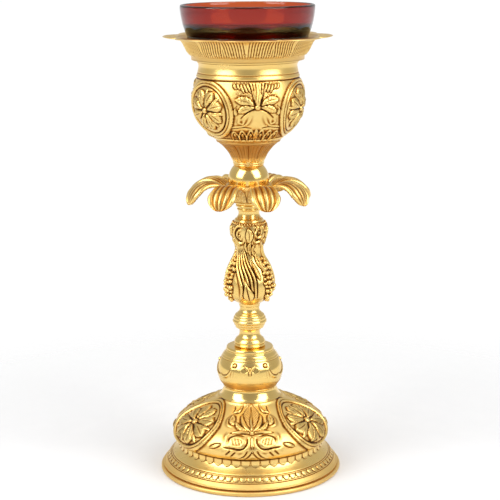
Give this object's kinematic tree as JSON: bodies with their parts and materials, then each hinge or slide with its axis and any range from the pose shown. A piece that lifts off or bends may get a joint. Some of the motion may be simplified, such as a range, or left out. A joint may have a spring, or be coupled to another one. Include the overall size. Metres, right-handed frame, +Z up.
{
  "type": "standing altar lamp with glass cup",
  "caption": "Standing altar lamp in gilt brass: embossed domed foot, cast stem with leaf collar, and an embossed bowl whose lobed gallery holds a loose red glass cup.",
  "frame": {"origin": "on the table, under the middle of the round foot", "axes": "+Z up along the stem, -Y towards the face whose bowl panel shows a lily between two rosettes"},
  "size_m": [0.1096, 0.1096, 0.28],
  "materials": {
    "pressed_gilt_brass": "embossed sheet, gilt, fine matted ground",
    "polished_gilt_brass": "turned and polished, gilt",
    "cast_gilt_brass": "cast and chased, gilt",
    "zinc_steel": "zinc plated",
    "red_glass": "moulded ruby glass"
  },
  "bodies": {
    "metalwork": {"base_foot": "pressed_gilt_brass", "base_dome": "pressed_gilt_brass", "leaf_collar": "pressed_gilt_brass", "bowl_shell": "pressed_gilt_brass", "gallery": "pressed_gilt_brass", "base_collar": "polished_gilt_brass", "knop_shell": "polished_gilt_brass", "knop_cap": "polished_gilt_brass", "upper_ball": "polished_gilt_brass", "bowl_foot": "polished_gilt_brass", "stem_spool": "cast_gilt_brass", "stem_baluster": "cast_gilt_brass", "foot_bridge": "zinc_steel", "base_washer": "zinc_steel", "base_lock_washer": "zinc_steel", "base_nut": "zinc_steel", "bowl_washer": "zinc_steel", "bowl_lock_washer": "zinc_steel", "bowl_nut": "zinc_steel", "tie_rod": "zinc_steel"},
    "glass": {"glass_cup": "red_glass"}
  },
  "joints": [
    {"name": "glass_lift", "type": "slide", "parent": "metalwork", "child": "glass", "axis": [0, 0, 1], "range_m": [0, 0.045]}
  ]
}
